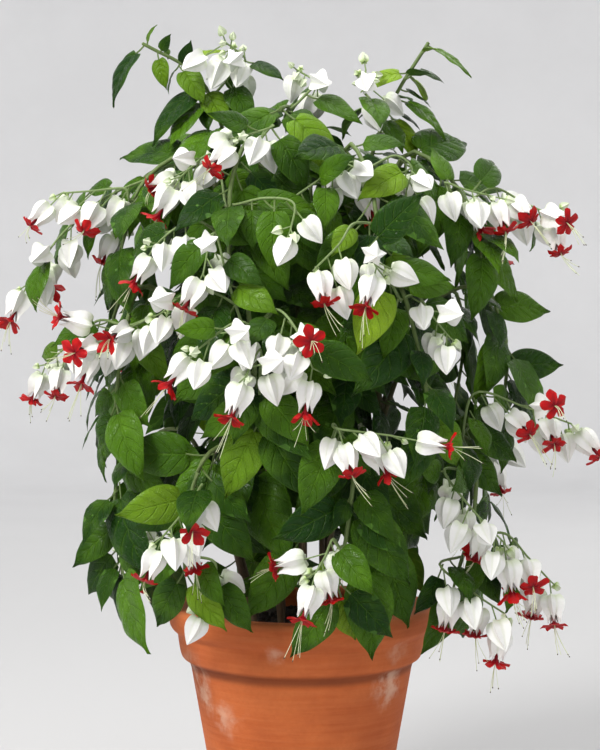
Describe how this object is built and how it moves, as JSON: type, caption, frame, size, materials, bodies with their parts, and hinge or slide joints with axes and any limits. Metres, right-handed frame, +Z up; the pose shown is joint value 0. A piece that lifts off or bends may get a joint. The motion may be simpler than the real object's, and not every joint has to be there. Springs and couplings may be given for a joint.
{
  "type": "potted bleeding heart vine",
  "caption": "Bushy bleeding heart vine with white calyces and red flowers over glossy leaves, in a round terracotta pot.",
  "frame": {"origin": "middle of the pot's flat base", "axes": "+Z up out of the pot, -Y towards the plant's front"},
  "size_m": [0.4812, 0.4169, 0.6767],
  "materials": {
    "terracotta": "matte",
    "potting_soil": "matte",
    "foliage": "satin",
    "flowers": "matte"
  },
  "bodies": {
    "root": {"cane_1": "foliage", "cane_2": "foliage", "cane_3": "foliage", "cane_4": "foliage", "cane_5": "foliage", "cane_6": "foliage", "cane_7": "foliage", "cane_8": "foliage", "crown_back": "foliage", "crown_front": "foliage", "crown_left": "foliage", "crown_right": "foliage", "pot": "terracotta", "soil": "potting_soil", "spray_back_1": "flowers", "spray_back_2": "flowers", "spray_back_3": "flowers", "spray_back_4": "flowers", "spray_back_5": "flowers", "spray_back_6": "flowers", "spray_back_7": "flowers", "spray_back_8": "flowers", "spray_back_9": "flowers", "spray_bottom_left": "flowers", "spray_bottom_middle": "flowers", "spray_centre": "flowers", "spray_centre_right": "flowers", "spray_crown_left": "flowers", "spray_crown_middle": "flowers", "spray_crown_right": "flowers", "spray_front_high": "flowers", "spray_front_left": "flowers", "spray_front_low": "flowers", "spray_front_right": "flowers", "spray_left_far": "flowers", "spray_left_front": "flowers", "spray_left_high": "flowers", "spray_left_inner": "flowers", "spray_left_low": "flowers", "spray_left_middle": "flowers", "spray_left_tail": "flowers", "spray_low_middle": "flowers", "spray_right": "flowers", "spray_right_high": "flowers", "spray_right_low": "flowers", "spray_right_middle": "flowers", "spray_right_tail": "flowers", "spray_right_trail": "flowers", "spray_rim_left": "flowers", "spray_rim_right": "flowers", "spray_top_far": "flowers", "spray_top_right": "flowers", "spray_upper_left": "flowers", "spray_upper_middle": "flowers"}
  },
  "joints": []
}
